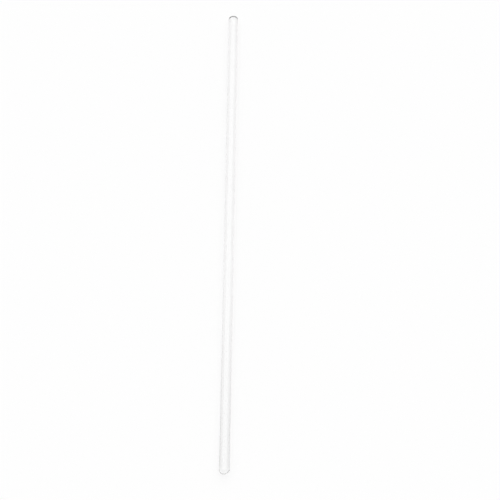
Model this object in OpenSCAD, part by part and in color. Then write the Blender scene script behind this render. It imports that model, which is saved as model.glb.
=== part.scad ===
// Glass stirring rod: one solid length of drawn glass with both ends fire-polished.
//
// The rod lies along Y. Its origin is on its own axis, halfway between the tips, where a
// clamp or a hand would hold it. The domed end is at -Y and the blunt end at +Y.
// Millimetres, +Z up.

/* [Drawn rod] */
// Length from tip to tip
rod_length = 300; // [100:5:400]
// Diameter of the drawn glass
rod_d = 6; // [3:0.5:12]

/* [Fire-polished ends] */
// Edge radius melted onto the domed end, which the flame has drawn nearly into a ball
domed_edge_r = 2.8; // [0.5:0.1:6]
// Edge radius melted onto the blunt end, which keeps a small flat face in its middle
blunt_edge_r = 2.2; // [0.5:0.1:6]

/* [Hidden] */
$fn = 96;
clear_glass = [0.90, 0.93, 0.93, 0.5];
rod_r = rod_d / 2;
half_length = rod_length / 2;

// The section of one half of the rod, from its middle to a tip, with that tip's edge melted
// round. An edge melted as far as the axis leaves no face, and the end is a full dome.
module half_section(edge_r) {
    melt_r = min(edge_r, rod_r);
    face_r = rod_r - melt_r;
    square([rod_r, half_length - melt_r]);
    if (face_r > 0) square([face_r, half_length]);
    intersection() {
        translate([face_r, half_length - melt_r]) circle(r = melt_r);
        square([rod_r, half_length]);
    }
}

module stirring_rod() {
    color(clear_glass)
    rotate([-90, 0, 0])
    rotate_extrude() {
        half_section(blunt_edge_r);
        mirror([0, 1]) half_section(domed_edge_r);
    }
}

stirring_rod();
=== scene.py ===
# %% [markdown]
# # A glass stirring rod
#
# A stirring rod is the plainest piece of laboratory glass. It is one solid length of clear
# glass, drawn from a melt, cut off and turned in a flame until both cut ends melt round. It
# has no colour of its own, so all that the eye gets is what the glass does with the light
# around it. That is why this lesson gives the shape, the glass and the light equal care.
#
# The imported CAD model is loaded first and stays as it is. Everything is in metres. The rod
# lies along Y with its middle at the origin, its domed end at -Y and its blunt end at +Y.

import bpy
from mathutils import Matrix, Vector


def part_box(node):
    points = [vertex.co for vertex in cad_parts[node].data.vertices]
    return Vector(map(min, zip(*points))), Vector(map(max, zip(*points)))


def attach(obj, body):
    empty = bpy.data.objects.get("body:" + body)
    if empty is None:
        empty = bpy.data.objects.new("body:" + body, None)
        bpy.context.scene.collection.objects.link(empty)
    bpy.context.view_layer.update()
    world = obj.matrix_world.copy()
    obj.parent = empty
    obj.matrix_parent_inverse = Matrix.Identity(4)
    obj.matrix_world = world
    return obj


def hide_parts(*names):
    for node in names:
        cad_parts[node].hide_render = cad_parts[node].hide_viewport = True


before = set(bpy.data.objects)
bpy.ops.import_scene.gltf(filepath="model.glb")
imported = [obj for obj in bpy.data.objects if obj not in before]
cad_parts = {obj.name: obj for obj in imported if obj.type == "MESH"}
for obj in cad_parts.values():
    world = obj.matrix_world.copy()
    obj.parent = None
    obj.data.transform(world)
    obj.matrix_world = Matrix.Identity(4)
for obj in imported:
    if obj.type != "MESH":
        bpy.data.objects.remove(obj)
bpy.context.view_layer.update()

# %% Read the rod's own sizes from the frame
import math

import bmesh
import bpy
from mathutils import Quaternion
from mathutils import Vector

MM = 0.001

rod_low, rod_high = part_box("stirring_rod")
ROD_LENGTH = rod_high.y - rod_low.y
HALF_LENGTH = ROD_LENGTH / 2
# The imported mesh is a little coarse, and only across X does it reach the full thickness.
ROD_RADIUS = (rod_high.x - rod_low.x) / 2
TABLE_LEVEL = -ROD_RADIUS
print(f"rod {ROD_LENGTH / MM:.1f} mm long, {2 * ROD_RADIUS / MM:.2f} mm thick")

# %% [markdown]
# ## Two helpers for materials
#
# Colours are chosen the way a screen shows them, as sRGB hex values, but the renderer adds
# up light, which needs linear values. One function does that change, so every colour can be
# written as a person would read it. A second small function adds a node, sets its settings
# and plugs in its links, which keeps each material readable from top to bottom.

# %% Helpers for colours and nodes
def linear(hex_colour):
    """An sRGB hex colour, such as "f5f7f7", as a linear colour with alpha.

    The numbers are those of the sRGB standard: a straight toe, then a power curve.
    """
    channels = []
    for start in (0, 2, 4):
        value = int(hex_colour[start:start + 2], 16) / 255
        if value <= 0.04045:
            channels.append(value / 12.92)
        else:
            channels.append(((value + 0.055) / 1.055) ** 2.4)
    return (*channels, 1.0)


def add_node(tree, kind, settings=None, links=None, **attributes):
    """Adds one node. Settings fill its sockets, and links plug other nodes' outputs in."""
    node = tree.nodes.new(kind)
    for name, value in attributes.items():
        setattr(node, name, value)
    for socket, value in (settings or {}).items():
        node.inputs[socket].default_value = value
    for socket, output in (links or {}).items():
        tree.links.new(output, node.inputs[socket])
    return node


def empty_tree(owner):
    """Switches an owner, a material or the world, to nodes and clears what is there."""
    owner.use_nodes = True
    owner.node_tree.nodes.clear()
    return owner.node_tree


WHITE = linear("ffffff")
BLACK = linear("000000")
print("white is", WHITE)

# %% [markdown]
# ## The shape of the rod
#
# The flame does two different things to the two ends. One end was held in it until surface
# tension drew the glass nearly into a ball. The other was taken out sooner: its edge is
# round, and a small flat of the old cut is left in the middle, bulged a little.
#
# A cylinder with a bevel could show that, but a bevel's few flat steps break up what is seen
# through clear glass. So the outline is worked out point by point and turned round the axis,
# as on a lathe. The steps are fine where the outline bends, and the wall needs few.

# %% The outline of a melted end
DOMED_EDGE_R = 2.8 * MM
BLUNT_EDGE_R = 2.2 * MM
DOMED_CROWN_R = 6.0 * MM
BLUNT_CROWN_R = 5.0 * MM
ARC_STEPS = 36
FACE_STEPS = 12


def melted_end(edge_r, crown_r):
    """Pairs (distance back from the tip, radius), from the axis out to the straight wall.

    The middle is part of a ball of radius crown_r, and it runs smoothly into the edge.
    """
    edge_centre = ROD_RADIUS - edge_r
    meet = math.asin(edge_centre / (crown_r - edge_r))
    sunk = crown_r - edge_centre / math.tan(meet)
    outline = []
    for step in range(1, FACE_STEPS + 1):
        turn = meet * step / FACE_STEPS
        outline.append((crown_r * (1 - math.cos(turn)), crown_r * math.sin(turn)))
    for step in range(1, ARC_STEPS + 1):
        turn = meet + (math.pi / 2 - meet) * step / ARC_STEPS
        back = sunk - edge_r * math.cos(turn)
        outline.append((back, edge_centre + edge_r * math.sin(turn)))
    return outline


blunt_end = melted_end(BLUNT_EDGE_R, BLUNT_CROWN_R)
domed_end = melted_end(DOMED_EDGE_R, DOMED_CROWN_R)
print(f"blunt end: the bulge takes {(blunt_end[-1][0] - BLUNT_EDGE_R) / MM:.2f} mm")
print(f"domed end: the bulge takes {(domed_end[-1][0] - DOMED_EDGE_R) / MM:.2f} mm")

# %% [markdown]
# ## A dome that leans
#
# Glass that is melted by hand sags towards the side that was hottest, so the dome is not
# quite true: its furthest point lies off the axis. The last three millimetres are sheared.
# For each millimetre that a point lies to the side, it moves DOME_LEAN millimetres along the
# rod, and this fades out away from the tip. Shearing alone would make the rod a little
# longer, so the dome is also set back by as much as its furthest point would stand out.

# %% The lean of the dome
DOME_LEAN = 0.21
LEAN_TOWARDS = Vector((-0.7, 0.0, 0.7)).normalized()
LEAN_REACH = ROD_RADIUS


def lean_fade(back):
    """1 at the tip of the dome and 0 from one radius back, with a smooth S between."""
    near_tip = max(0.0, 1 - back / LEAN_REACH)
    return near_tip * near_tip * (3 - 2 * near_tip)


LEAN_SET_BACK = max(DOME_LEAN * radius * lean_fade(back) - back for back, radius in domed_end)


def leaned(point):
    """A point of the rod, moved along the rod where it is part of the dome."""
    fade = lean_fade(point.y + HALF_LENGTH)
    point.y += (LEAN_SET_BACK - DOME_LEAN * point.dot(LEAN_TOWARDS)) * fade
    return point


print(f"the dome is set back {LEAN_SET_BACK / MM:.2f} mm")

# %% [markdown]
# ## Turned as on a lathe
#
# Each point of the outline becomes a ring of points round the axis, and faces join each ring
# to the next. Both ends close on a single point. Clear glass bends light by its faces, and
# the rod's far side is seen through its near side, so the rings have many sides: with few,
# the wall would show flat strips along its whole length.

# %% Turn the outline
SIDES = 512
WALL_RINGS = 10


def turn_rod():
    """One closed mesh of the whole rod, turned from its outline."""
    wall_start = HALF_LENGTH - blunt_end[-1][0]
    wall_end = -HALF_LENGTH + domed_end[-1][0]
    stations = [(HALF_LENGTH - back, radius) for back, radius in blunt_end]
    for ring in range(1, WALL_RINGS):
        along = wall_start + (wall_end - wall_start) * ring / WALL_RINGS
        stations.append((along, ROD_RADIUS))
    stations += [(-HALF_LENGTH + back, radius) for back, radius in reversed(domed_end)]

    rod = bmesh.new()
    rings = []
    for along, radius in stations:
        ring = []
        for side in range(SIDES):
            turn = 2 * math.pi * side / SIDES
            place = Vector((radius * math.cos(turn), along, radius * math.sin(turn)))
            ring.append(rod.verts.new(leaned(place)))
        rings.append(ring)
    blunt_tip = rod.verts.new(leaned(Vector((0, HALF_LENGTH, 0))))
    domed_tip = rod.verts.new(leaned(Vector((0, -HALF_LENGTH, 0))))
    for side in range(SIDES):
        after = (side + 1) % SIDES
        rod.faces.new((blunt_tip, rings[0][side], rings[0][after]))
        rod.faces.new((domed_tip, rings[-1][after], rings[-1][side]))
        for near, far in zip(rings, rings[1:]):
            rod.faces.new((near[side], far[side], far[after], near[after]))
    bmesh.ops.recalc_face_normals(rod, faces=rod.faces)
    return rod


turned = turn_rod()
print("faces:", len(turned.faces), "volume:", f"{turned.calc_volume() / MM ** 3:.1f} mm3")

# %% [markdown]
# ## The rod takes its place
#
# The mesh becomes an object on the frame's one body. It stands in for the plain CAD rod,
# which is hidden here and still does its work in the physics model. The faces are shaded
# smooth, so that the facets of the rings don't show.

# %% Put the rod on the frame
rod_mesh = bpy.data.meshes.new("stirring_rod_glass")
turned.to_mesh(rod_mesh)
turned.free()
for face in rod_mesh.polygons:
    face.use_smooth = True
rod = bpy.data.objects.new("stirring_rod_glass", rod_mesh)
bpy.context.collection.objects.link(rod)
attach(rod, "root")
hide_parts("stirring_rod")
print("piece on the frame:", rod.name)

# %% [markdown]
# ## Lines and swelling from the drawing
#
# The skin of the glass tells how the rod was made. Drawing leaves fine lines that run
# lengthwise. Real ones are finer than the eye can part, so these are drawn coarser, half a
# millimetre apart, but no deeper than real ones: less than a thousandth of a millimetre.
# Drawing also leaves the wall swelling and shrinking by a few thousandths of a millimetre.
#
# Neither shows from the side. They show in the ends, which look down the whole length of
# the rod: there the many reflections are shaken up instead of making clean rings. Both are
# far too shallow to be worth modelling, so they are bump, one on top of the other.

# %% The skin left by drawing
DRAW_LINE_SPACING = 0.5 * MM
DRAW_LINE_LENGTH = 60 * MM
DRAW_LINE_DEPTH = 0.0004 * MM
DRAW_LINE_OCTAVES = 2.0
SWELL_LENGTH = 8 * MM
SWELL_DEPTH = 0.012 * MM
SWELL_OCTAVES = 1.0


def drawn_skin(tree, place):
    """The surface direction of a drawn wall, from its swelling and its draw lines."""
    lengthwise = (1 / DRAW_LINE_SPACING, 1 / DRAW_LINE_LENGTH, 1 / DRAW_LINE_SPACING)
    stretched = add_node(
        tree, "ShaderNodeMapping", {"Scale": lengthwise}, {"Vector": place.outputs["Object"]})
    lines = add_node(
        tree, "ShaderNodeTexNoise",
        {"Scale": 1.0, "Detail": DRAW_LINE_OCTAVES},
        {"Vector": stretched.outputs["Vector"]})
    swells = add_node(
        tree, "ShaderNodeTexNoise",
        {"Scale": 1 / SWELL_LENGTH, "Detail": SWELL_OCTAVES},
        {"Vector": place.outputs["Object"]})
    swollen = add_node(
        tree, "ShaderNodeBump",
        {"Strength": 1.0, "Distance": SWELL_DEPTH},
        {"Height": swells.outputs["Fac"]})
    skin = add_node(
        tree, "ShaderNodeBump",
        {"Strength": 1.0, "Distance": DRAW_LINE_DEPTH},
        {"Height": lines.outputs["Fac"], "Normal": swollen.outputs["Normal"]})
    return skin.outputs["Normal"]


print(f"draw lines {DRAW_LINE_SPACING / MM:.1f} mm apart, swells {SWELL_LENGTH / MM:.0f} mm long")

# %% [markdown]
# ## The film, and how it roughens
#
# Washing and handling leave a trace of film on the glass, in patches. Fire-polished glass
# is as smooth as glass gets, so its roughness is 0 where it is clean. Where the film lies,
# it takes the last sharpness off the reflections, so that the ends look an even soft grey.
# The patches are the high parts of a noise that runs from 0 to 1.

# %% Patches of film
FILM_PATCH_SIZE = 9 * MM
FILM_PATCH_OCTAVES = 3.0
PATCH_BEGINS = 0.35
PATCH_IS_FULL = 0.75
PATCH_ROUGHNESS = 0.1


def patchy_roughness(tree, place):
    """Roughness that rises from 0 to PATCH_ROUGHNESS in the patches of a noise."""
    patches = add_node(
        tree, "ShaderNodeTexNoise",
        {"Scale": 1 / FILM_PATCH_SIZE, "Detail": FILM_PATCH_OCTAVES},
        {"Vector": place.outputs["Object"]})
    roughness = add_node(
        tree, "ShaderNodeMapRange",
        {
            "From Min": PATCH_BEGINS,
            "From Max": PATCH_IS_FULL,
            "To Min": 0.0,
            "To Max": PATCH_ROUGHNESS,
        },
        {"Value": patches.outputs["Fac"]})
    return roughness.outputs["Result"]


print(f"film patches about {FILM_PATCH_SIZE / MM:.0f} mm across")

# %% [markdown]
# ## Where the painted shade lies
#
# The grey that is painted at the edges of the glass (see below) is painted shade. It is
# strongest on the half towards the domed end, where it stands in for shade falling on that
# end of the rod, and fades to a smaller share towards the blunt end. It is painted a little
# lighter on the tips themselves.

# %% The painted shade along the rod
# Painted shade along the rod: full at the domed end, less from this far along, lighter at the
# tips.
SHADE_FADES_OVER = 130 * MM
SHADE_TOWARDS_BLUNT_END = 0.55
TIP_LIGHTENING_FROM = 4.0 * MM
TIPS_LIGHTEST_FROM = 2.5 * MM
SHADE_ON_TIPS = 0.65


def painted_shade_along_rod(tree, place):
    """How much painted shade there is, as a share of the most, at each place along the rod."""
    axes = add_node(tree, "ShaderNodeSeparateXYZ", {}, {"Vector": place.outputs["Object"]})
    shade_from_domed_end = add_node(
        tree, "ShaderNodeMapRange",
        {
            "From Min": -HALF_LENGTH,
            "From Max": -HALF_LENGTH + SHADE_FADES_OVER,
            "To Min": 1.0,
            "To Max": SHADE_TOWARDS_BLUNT_END,
        },
        {"Value": axes.outputs["Y"]}, interpolation_type="SMOOTHSTEP")
    from_middle = add_node(
        tree, "ShaderNodeMath", {}, {0: axes.outputs["Y"]}, operation="ABSOLUTE")
    lighter_tips = add_node(
        tree, "ShaderNodeMapRange",
        {
            "From Min": HALF_LENGTH - TIP_LIGHTENING_FROM,
            "From Max": HALF_LENGTH - TIPS_LIGHTEST_FROM,
            "To Min": 1.0,
            "To Max": SHADE_ON_TIPS,
        },
        {"Value": from_middle.outputs["Value"]})
    # The share of painted shade: the two fades multiplied.
    film = add_node(
        tree, "ShaderNodeMath", {},
        {0: shade_from_domed_end.outputs["Result"], 1: lighter_tips.outputs["Result"]}, operation="MULTIPLY")
    return film.outputs["Value"]


# Shows the share of painted shade left towards the blunt end.
print(f"film above the dip: {SHADE_TOWARDS_BLUNT_END:.0%} of the film at the domed end")

# %% [markdown]
# ## The painted shade at the edges
#
# The colour of the glass is painted grey where it is seen at a glancing angle, and only a
# little grey where it is seen square on. This painted shade gives the clear rod its soft grey
# sides, the shade it would pick up from its surroundings. Layer Weight tells how glancing the
# view is, from 0, square on, to 1, and the start and the full point of the shade are places on
# that scale.

# %% The colour of the painted edge shade
# Painted shade: the glass is white, and turns this grey where it is seen at a glancing angle.
UNSHADED_GLASS = WHITE
PAINTED_EDGE_SHADE = linear("b4b4b4")
EDGE_SHADE_STARTS = 0.12
EDGE_SHADE_IS_FULL = 0.75
EDGE_SHADE_SQUARE_ON = 0.12
# A Mix node has one set of sockets for each kind of value. These are its colour sockets.
MIX_A = 6
MIX_B = 7
MIX_RESULT = 2


def painted_edge_shade_colour(tree, film):
    """White glass with painted grey shade at glancing angles, scaled by its share along the rod.
    """
    glance = add_node(tree, "ShaderNodeLayerWeight")
    toward_edges = add_node(
        tree, "ShaderNodeMapRange",
        {"From Min": EDGE_SHADE_STARTS, "From Max": EDGE_SHADE_IS_FULL, "To Min": EDGE_SHADE_SQUARE_ON},
        {"Value": glance.outputs["Facing"]})
    # Painted edge shade, times its share along the rod.
    seen_edge_shade = add_node(
        tree, "ShaderNodeMath", {},
        {0: toward_edges.outputs["Result"], 1: film}, operation="MULTIPLY")
    colour = add_node(
        tree, "ShaderNodeMix",
        {MIX_A: UNSHADED_GLASS, MIX_B: PAINTED_EDGE_SHADE},
        {"Factor": seen_edge_shade.outputs["Value"]}, data_type="RGBA")
    return colour.outputs[MIX_RESULT]


# Shows the grey of the painted edge shade.
print("filmed glass, seen at a glance:", PAINTED_EDGE_SHADE)

# %% [markdown]
# ## The glass
#
# Laboratory rod is borosilicate glass. Its index of refraction is 1.473, and it is so clear
# that 6 mm of it takes hardly any light. Looked at along its length it does take some, so
# the body gets a faint neutral absorption, per metre of path.

# %% Borosilicate glass, drawn and fire-polished
GLASS_IOR = 1.473
GLASS_ABSORBS_PER_M = 2.4


def drawn_borosilicate():
    """Clear glass: drawn skin, patches of film, painted shade at its edges, faint grey in its
    depth.
    """
    glass = bpy.data.materials.new("borosilicate_glass_drawn_fire_polished")
    tree = empty_tree(glass)
    place = add_node(tree, "ShaderNodeTexCoord")
    shader = add_node(
        tree, "ShaderNodeBsdfPrincipled",
        {"IOR": GLASS_IOR, "Transmission Weight": 1.0},
        {
            # The base colour carries painted shade, grey at glancing angles and towards the domed
            # end.
            "Base Color": painted_edge_shade_colour(tree, painted_shade_along_rod(tree, place)),
            "Roughness": patchy_roughness(tree, place),
            "Normal": drawn_skin(tree, place),
        })
    body = add_node(
        tree, "ShaderNodeVolumeAbsorption",
        {"Color": BLACK, "Density": GLASS_ABSORBS_PER_M})
    add_node(
        tree, "ShaderNodeOutputMaterial", {},
        {"Surface": shader.outputs["BSDF"], "Volume": body.outputs["Volume"]})
    return glass


rod_mesh.materials.append(drawn_borosilicate())
print("glass:", rod_mesh.materials[0].name)

# %% [markdown]
# ## The table
#
# Clear glass is best seen on a light table: a white sheet that glows softly from below and
# is also lit from above. The sheet is opal acrylic with a matt upper face. The matt is made
# of grains too fine to show, so they are drawn coarser.

# %% The matt white of the sheet
SHEET_WHITE = linear("656565")
SHEET_GRAIN = 3 * MM
SHEET_GRAIN_DEPTH = 0.01 * MM
SHEET_GRAIN_OCTAVES = 2.0


def matt_white(tree):
    """The part of the sheet's white that is light falling on it from above."""
    place = add_node(tree, "ShaderNodeTexCoord")
    grain = add_node(
        tree, "ShaderNodeTexNoise",
        {"Scale": 1 / SHEET_GRAIN, "Detail": SHEET_GRAIN_OCTAVES},
        {"Vector": place.outputs["Object"]})
    matt = add_node(
        tree, "ShaderNodeBump",
        {"Strength": 1.0, "Distance": SHEET_GRAIN_DEPTH},
        {"Height": grain.outputs["Fac"]})
    white = add_node(
        tree, "ShaderNodeBsdfDiffuse",
        {"Color": SHEET_WHITE},
        {"Normal": matt.outputs["Normal"]})
    return white.outputs["BSDF"]


print(f"the sheet gives back {SHEET_WHITE[0]:.0%} of the light that falls on it")

# %% [markdown]
# ## Its glow
#
# About seven eighths of the sheet's white is its own glow and the rest is the light that
# falls on it, so that together they come to plain white. The glow shows to the camera but
# isn't used as a lamp, so the rod still leaves its own faint shadow on the part that is lit
# from above.
#
# In the glass, reflected or seen through it, the sheet is one plain white instead, a little
# under its own, because less light from above gets down under a rod. Following that light
# through the glass and back is slow, and it would leave the wall of the rod grainy.

# %% The glowing sheet
SHEET_GLOW = 0.86
SHEET_WHITE_IN_GLASS = 0.957


def glowing_sheet():
    """Opal acrylic with a matt face, lit from below, and plain white where glass shows it."""
    sheet = bpy.data.materials.new("opal_acrylic_matt")
    tree = empty_tree(sheet)
    seen = add_node(tree, "ShaderNodeLightPath")
    strength = add_node(
        tree, "ShaderNodeMath", {1: SHEET_GLOW},
        {0: seen.outputs["Is Camera Ray"]}, operation="MULTIPLY")
    glow = add_node(
        tree, "ShaderNodeEmission", {"Color": WHITE}, {"Strength": strength.outputs["Value"]})
    bare = add_node(
        tree, "ShaderNodeAddShader", {}, {0: matt_white(tree), 1: glow.outputs["Emission"]})
    in_glass = add_node(
        tree, "ShaderNodeEmission", {"Color": WHITE, "Strength": SHEET_WHITE_IN_GLASS})
    by_glass = add_node(
        tree, "ShaderNodeMath", {},
        {0: seen.outputs["Is Glossy Ray"], 1: seen.outputs["Is Transmission Ray"]},
        operation="MAXIMUM")
    face = add_node(
        tree, "ShaderNodeMixShader", {},
        {
            0: by_glass.outputs["Value"],
            1: bare.outputs["Shader"],
            2: in_glass.outputs["Emission"],
        })
    add_node(tree, "ShaderNodeOutputMaterial", {}, {"Surface": face.outputs["Shader"]})
    return sheet


sheet_material = glowing_sheet()
print("sheet:", sheet_material.name)

# %% [markdown]
# ## The table top
#
# The top is one flat face just under the rod. It is far bigger than any real table, so that
# low views end in white and never in an edge.

# %% The table top
SHEET_SIZE = 40.0

half_sheet = SHEET_SIZE / 2
corners = [
    (-half_sheet, -half_sheet, TABLE_LEVEL),
    (half_sheet, -half_sheet, TABLE_LEVEL),
    (half_sheet, half_sheet, TABLE_LEVEL),
    (-half_sheet, half_sheet, TABLE_LEVEL),
]
table_mesh = bpy.data.meshes.new("light_table")
table_mesh.from_pydata(corners, [], [(0, 1, 2, 3)])
table_mesh.materials.append(sheet_material)
table = bpy.data.objects.new("light_table", table_mesh)
bpy.context.collection.objects.link(table)
print(f"table at {TABLE_LEVEL / MM:.1f} mm, {SHEET_SIZE:.0f} m across")

# %% [markdown]
# ## The walls of the tent
#
# A white tent round a table gives the plainest light there is: white from the sides and
# brighter from above. The world plays that tent. It is full white at the horizon, so that
# it meets the table with no seam, and falls to grey higher up. Glass with nothing but white
# round it can't be seen at all, and that grey is the first of two things that draw it: the
# rod bends it round into its own lower edge.

# %% The walls
WALL_WHITE = 1.0
WALL_WHITE_UP_TO = 10.0
UPPER_GREY = 0.2
UPPER_GREY_FROM = 28.0


def height_of(degrees):
    """The Z of a direction, an arrow of length 1, so many degrees over the horizon."""
    return math.sin(math.radians(degrees))


def tent_walls(tree, axes):
    """White at the horizon, grey higher up."""
    walls = add_node(
        tree, "ShaderNodeMapRange",
        {
            "From Min": height_of(WALL_WHITE_UP_TO),
            "From Max": height_of(UPPER_GREY_FROM),
            "To Min": WALL_WHITE,
            "To Max": UPPER_GREY,
        },
        {"Value": axes.outputs["Z"]}, interpolation_type="SMOOTHSTEP")
    return walls.outputs["Result"]


print(f"walls white up to {WALL_WHITE_UP_TO:.0f} degrees, grey from {UPPER_GREY_FROM:.0f}")

# %% [markdown]
# ## The lamp
#
# One broad round lamp stands high over the blunt end. Its edge is soft, but it does end, so
# that the upper walls on both sides stay grey. Its size is given in degrees from its middle,
# and a cosine turns that into what a dot product of two directions measures.

# %% The round lamp
LAMP_BRIGHTNESS = 1.8
LAMP_TOWARDS = Vector((0.0, 0.5, 0.87)).normalized()
LAMP_FULL_WITHIN = 35.0
LAMP_ENDS_AT = 55.0


def round_lamp(tree, place):
    """A disc of light that is full in the middle and fades out at its edge."""
    facing = add_node(
        tree, "ShaderNodeVectorMath", {1: LAMP_TOWARDS},
        {0: place.outputs["Generated"]}, operation="DOT_PRODUCT")
    lamp = add_node(
        tree, "ShaderNodeMapRange",
        {
            "From Min": math.cos(math.radians(LAMP_ENDS_AT)),
            "From Max": math.cos(math.radians(LAMP_FULL_WITHIN)),
            "To Min": 0.0,
            "To Max": LAMP_BRIGHTNESS,
        },
        {"Value": facing.outputs["Value"]}, interpolation_type="SMOOTHSTEP")
    return lamp.outputs["Result"]


print(f"the lamp is {2 * LAMP_ENDS_AT:.0f} degrees across, from edge to edge")

# %% [markdown]
# ## The opening
#
# The tent is open on the side the domed end points to, with a dark room beyond it. That is
# the second thing that draws the glass. The walls of the rod carry the dark from end to end
# like a pipe, and it comes out as the thin dark crescent at the blunt end. Under the
# opening a low strip of wall stays white, so that the table meets white on that side too.
#
# A direction is an arrow of length 1 here. Its Y is -1 straight towards the open side, and
# its Z is 0 at the horizon and 1 overhead.

# %% The open side
OPEN_SIDE_LIGHT = 0.1
OPEN_SIDE_FROM = -0.1
OPEN_SIDE_FULL = -0.6
OPEN_ABOVE = 0.14
FULLY_OPEN_ABOVE = 0.3


def light_let_through(tree, axes):
    """The share of the tent's light that is left at each direction."""
    open_side = add_node(
        tree, "ShaderNodeMapRange",
        {
            "From Min": OPEN_SIDE_FULL,
            "From Max": OPEN_SIDE_FROM,
            "To Min": OPEN_SIDE_LIGHT,
            "To Max": 1.0,
        },
        {"Value": axes.outputs["Y"]}, interpolation_type="SMOOTHSTEP")
    low_wall = add_node(
        tree, "ShaderNodeMapRange",
        {
            "From Min": OPEN_ABOVE,
            "From Max": FULLY_OPEN_ABOVE,
            "To Min": 1.0,
            "To Max": 0.0,
        },
        {"Value": axes.outputs["Z"]}, interpolation_type="SMOOTHSTEP")
    share = add_node(
        tree, "ShaderNodeMath", {},
        {0: open_side.outputs["Result"], 1: low_wall.outputs["Result"]},
        operation="MAXIMUM")
    return share.outputs["Value"]


print(f"the opening leaves {OPEN_SIDE_LIGHT:.0%} of the light")

# %% [markdown]
# ## The tent as a world
#
# The lamp is added to the walls, and the opening takes its share away from both. All of it
# is one neutral white, because the rod should show no colour that isn't its own.

# %% The tent
def light_tent():
    """The world: white walls that grey upwards, a high round lamp and an open side."""
    world = bpy.data.worlds.new("light_tent")
    tree = empty_tree(world)
    place = add_node(tree, "ShaderNodeTexCoord")
    axes = add_node(tree, "ShaderNodeSeparateXYZ", {}, {"Vector": place.outputs["Generated"]})
    total = add_node(
        tree, "ShaderNodeMath", {},
        {0: tent_walls(tree, axes), 1: round_lamp(tree, place)}, operation="ADD")
    strength = add_node(
        tree, "ShaderNodeMath", {},
        {0: total.outputs["Value"], 1: light_let_through(tree, axes)}, operation="MULTIPLY")
    light = add_node(
        tree, "ShaderNodeBackground", {"Color": WHITE}, {"Strength": strength.outputs["Value"]})
    add_node(tree, "ShaderNodeOutputWorld", {}, {"Surface": light.outputs["Background"]})
    return world


bpy.context.scene.world = light_tent()
print("world:", bpy.context.scene.world.name)

# %% [markdown]
# ## The camera
#
# The camera stands high, a little beyond the domed end, and looks steeply down along the
# rod, so the rod runs up the frame and gets a little thinner on the way. It is set as a
# real one is: how long the lens is, how high, how far round and how far off it stands, its
# aim, and how far it is rolled about that aim. The angles are in degrees.

# %% The camera
SENSOR_WIDTH = 36.0
FRAME_PIXELS = 500
LENS_IN_PIXELS = 1331
CAMERA_HEIGHT_ANGLE = 67.58
CAMERA_ROUND_ANGLE = 1.90338
CAMERA_ROLL = 2.83
CAMERA_DISTANCE = 800.7 * MM
CAMERA_AIM = Vector((12.8139 * MM, -13.2576 * MM, 0.0))
NEAREST_SEEN = 10 * MM
FURTHEST_SEEN = 100.0

height = math.radians(CAMERA_HEIGHT_ANGLE)
round_to = math.radians(CAMERA_ROUND_ANGLE)
backwards = Vector((
    -math.sin(round_to) * math.cos(height),
    -math.cos(round_to) * math.cos(height),
    math.sin(height),
))
roll = Quaternion((0, 0, 1), math.radians(CAMERA_ROLL))
camera_data = bpy.data.cameras.new("camera")
camera_data.sensor_width = SENSOR_WIDTH
camera_data.lens = SENSOR_WIDTH * LENS_IN_PIXELS / FRAME_PIXELS
camera_data.clip_start = NEAREST_SEEN
camera_data.clip_end = FURTHEST_SEEN
camera = bpy.data.objects.new("camera", camera_data)
camera.rotation_mode = "QUATERNION"
camera.rotation_quaternion = (-backwards).to_track_quat("-Z", "Y") @ roll
camera.location = CAMERA_AIM + CAMERA_DISTANCE * backwards
bpy.context.collection.objects.link(camera)
bpy.context.scene.camera = camera
print(f"lens {camera_data.lens:.1f} mm, {CAMERA_DISTANCE:.3f} m away")

# %% [markdown]
# ## How far light is followed
#
# Light that gets into a glass rod is trapped by its walls and may be reflected dozens of
# times before it leaves at an end. A path that is cut short comes back black, and the ends
# would look painted. So paths are allowed to be long. Most end early, and it costs little.

# %% Long light paths
BOUNCES_IN_GLASS = 96

cycles = bpy.context.scene.cycles
cycles.max_bounces = BOUNCES_IN_GLASS
cycles.transmission_bounces = BOUNCES_IN_GLASS
cycles.glossy_bounces = BOUNCES_IN_GLASS
bpy.context.scene.view_settings.view_transform = "Standard"
print("bounces:", cycles.max_bounces)
